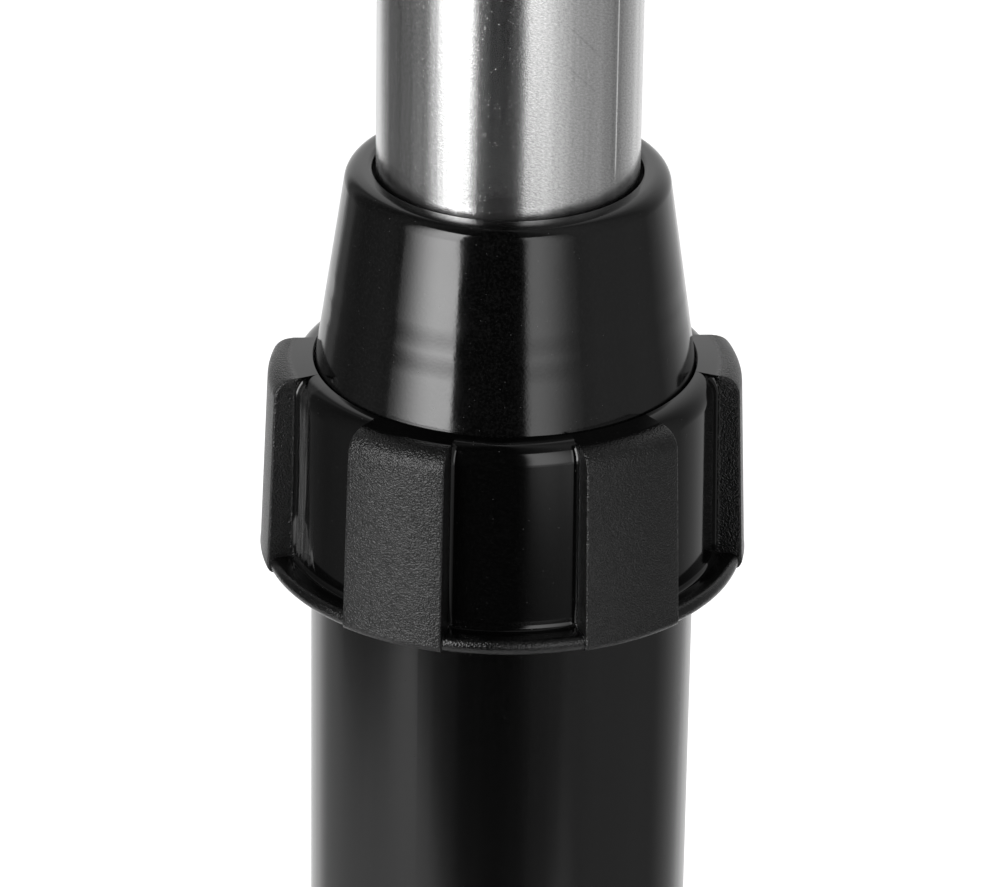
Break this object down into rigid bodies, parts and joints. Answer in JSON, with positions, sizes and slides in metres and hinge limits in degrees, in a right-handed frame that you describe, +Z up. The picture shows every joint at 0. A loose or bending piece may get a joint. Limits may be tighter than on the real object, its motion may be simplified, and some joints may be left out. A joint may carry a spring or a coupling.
{
  "type": "telescopic suction wand",
  "caption": "Telescopic suction wand whose brushed steel tube slides in a black tube and is locked by a padded grip nut under a glossy cone.",
  "frame": {"origin": "middle of the wand's lower end face", "axes": "+Z up the wand, towards the hose end; -Y is the side that faces the viewer"},
  "size_m": [0.0658, 0.065, 0.4225],
  "materials": {
    "steel": "brushed",
    "tube_black": "semi-gloss",
    "cone_black": "high gloss",
    "nut_black": "grained pads, glossy panels",
    "collar_black": "satin",
    "socket_black": "satin",
    "collet_natural": "satin",
    "bush_grey": "satin",
    "glide_white": "felted",
    "rubber_black": "matte",
    "zinc_steel": "zinc plated",
    "rivet_black": "satin",
    "rivet_alloy": "satin"
  },
  "bodies": {
    "base": {"outer_tube": "tube_black", "thread_socket": "socket_black", "socket_screws": "zinc_steel", "skirt_o_ring": "rubber_black", "lip_seal": "rubber_black", "seal_washer": "zinc_steel", "bump_ring": "rubber_black", "tool_collar": "collar_black", "collar_o_ring": "rubber_black", "collar_rivets": "rivet_black"},
    "clamp": {"nose_cone": "cone_black", "wiper_ring": "rubber_black", "collet": "collet_natural", "slip_washer": "zinc_steel"},
    "nut": {"grip_nut": "nut_black", "retaining_ring": "zinc_steel"},
    "slider": {"steel_tube": "steel", "guide_bush": "bush_grey", "bush_rivets": "rivet_alloy", "glide_strips": "glide_white"}
  },
  "joints": [
    {"name": "tube_slide", "type": "slide", "parent": "base", "child": "slider", "axis": [0, 0, 1], "range_m": [0, 0.193]},
    {"name": "clamp_lift", "type": "slide", "parent": "base", "child": "clamp", "axis": [0, 0, 1], "range_m": [0, 0.002]},
    {"name": "nut_turn", "type": "hinge", "parent": "clamp", "child": "nut", "pos_m": [0, 0, 0.293], "axis": [0, 0, 1], "range_deg": [0, 180]}
  ],
  "couplings": [
    {"joint": "clamp_lift", "follows": "nut_turn", "m_per_rad": 0.0006366}
  ]
}
